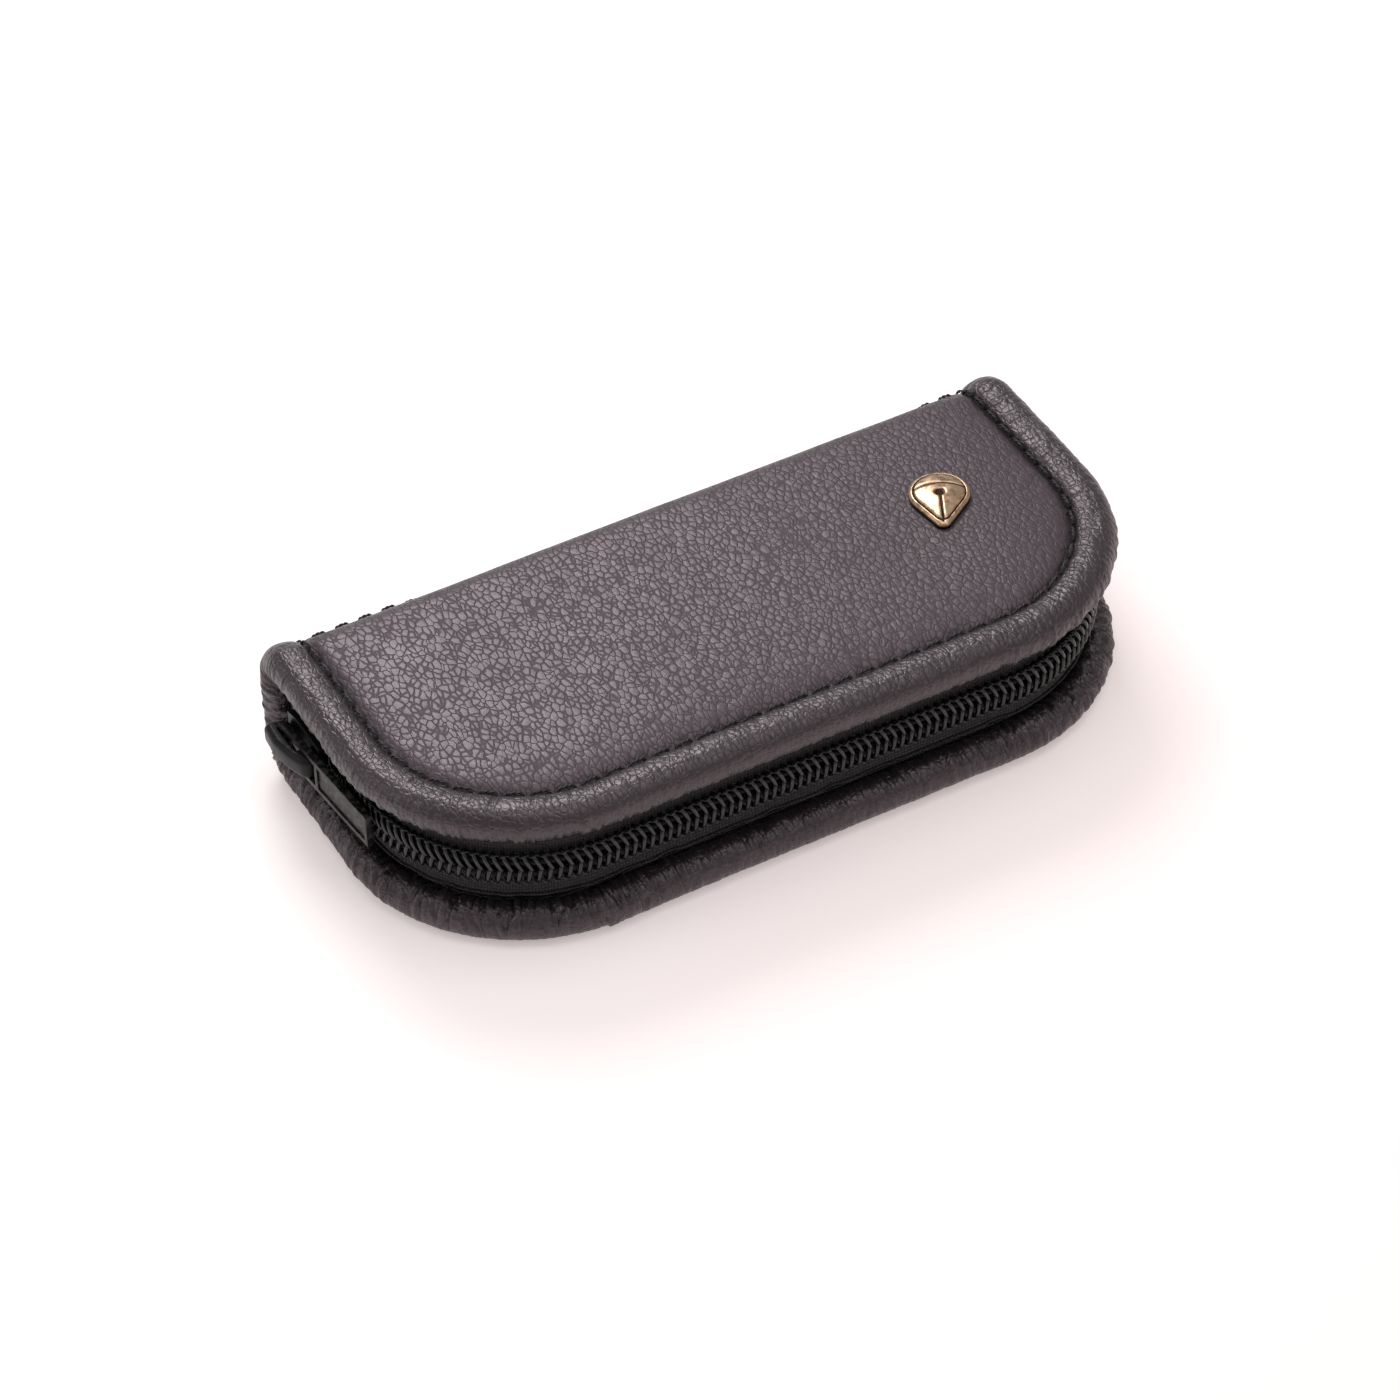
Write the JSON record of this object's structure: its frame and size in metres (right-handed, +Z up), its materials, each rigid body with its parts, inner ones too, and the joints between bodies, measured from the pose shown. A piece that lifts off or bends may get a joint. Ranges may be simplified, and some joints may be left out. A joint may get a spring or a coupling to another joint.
{
  "type": "fountain pen case",
  "caption": "Zip-around padded leather pen case with rolled edges, a folding spine, coil zip with pull, elastic pen loops and a domed metal badge.",
  "frame": {"origin": "middle of the face that the closed case rests on", "axes": "+Z up, +X along the case away from the zip slider, -Y towards the zipped front, +Y towards the spine"},
  "size_m": [0.1564, 0.0716, 0.0336],
  "materials": {
    "panel_leather": "satin",
    "roll_leather": "satin",
    "lining": "matt brushed",
    "foam": "open cell",
    "board": "matt",
    "filler_cord": "braided",
    "coil_cord": "braided",
    "zip_tape": "woven",
    "zip_coil": "moulded nylon",
    "thread": "twisted",
    "elastic": "ribbed",
    "antique_brass": "antique",
    "steel_plate": "plain",
    "black_metal": "satin",
    "black_enamel": "gloss"
  },
  "bodies": {
    "base": {"base_leather": "panel_leather", "base_edge_roll": "roll_leather", "base_edge_cord": "filler_cord", "base_foam": "foam", "base_board": "board", "base_lining": "lining", "base_zip_tape": "zip_tape", "base_coil": "zip_coil", "base_coil_cord": "coil_cord", "base_stitching": "thread", "lower_top_stop": "black_metal", "bottom_stop": "black_metal", "pen_loop_left": "elastic", "pen_loop_right": "elastic", "loop_stitching": "thread"},
    "spine": {"spine_leather": "panel_leather", "spine_foam": "foam", "spine_board": "board", "spine_lining": "lining", "spine_roll_left": "roll_leather", "spine_roll_right": "roll_leather", "spine_cord_left": "filler_cord", "spine_cord_right": "filler_cord", "spine_stitching": "thread"},
    "lid": {"lid_leather": "panel_leather", "lid_edge_roll": "roll_leather", "lid_edge_cord": "filler_cord", "lid_foam": "foam", "lid_board": "board", "lid_lining": "lining", "lid_zip_tape": "zip_tape", "lid_coil": "zip_coil", "lid_coil_cord": "coil_cord", "lid_stitching": "thread", "upper_top_stop": "black_metal", "badge": "antique_brass", "badge_backplate": "steel_plate"},
    "slider": {"slider_body": "black_enamel", "slider_crown": "black_enamel"},
    "lock": {"lock_pin": "black_enamel"},
    "pull": {"pull_tab": "black_enamel"}
  },
  "joints": [
    {"name": "spine_hinge", "type": "hinge", "parent": "base", "child": "spine", "pos_m": [0, 0.03381, 0.00194], "axis": [-1, 0, 0], "range_deg": [0, 90]},
    {"name": "lid_hinge", "type": "hinge", "parent": "spine", "child": "lid", "pos_m": [0, 0.03381, 0.02937], "axis": [-1, 0, 0], "range_deg": [0, 90]},
    {"name": "slider_travel", "type": "slide", "parent": "base", "child": "slider", "axis": [0, -1, 0], "range_m": [0, 0.012]},
    {"name": "pull_hinge", "type": "hinge", "parent": "slider", "child": "pull", "pos_m": [-0.0772, 0.02325, 0.01565], "axis": [0, 0, -1], "range_deg": [0, 170]},
    {"name": "lock_lift", "type": "slide", "parent": "slider", "child": "lock", "axis": [-1, 0, 0], "range_m": [0, 0.0006]}
  ],
  "couplings": [
    {"joint": "lock_lift", "follows": "pull_hinge", "m_per_rad": 0.0001854}
  ]
}
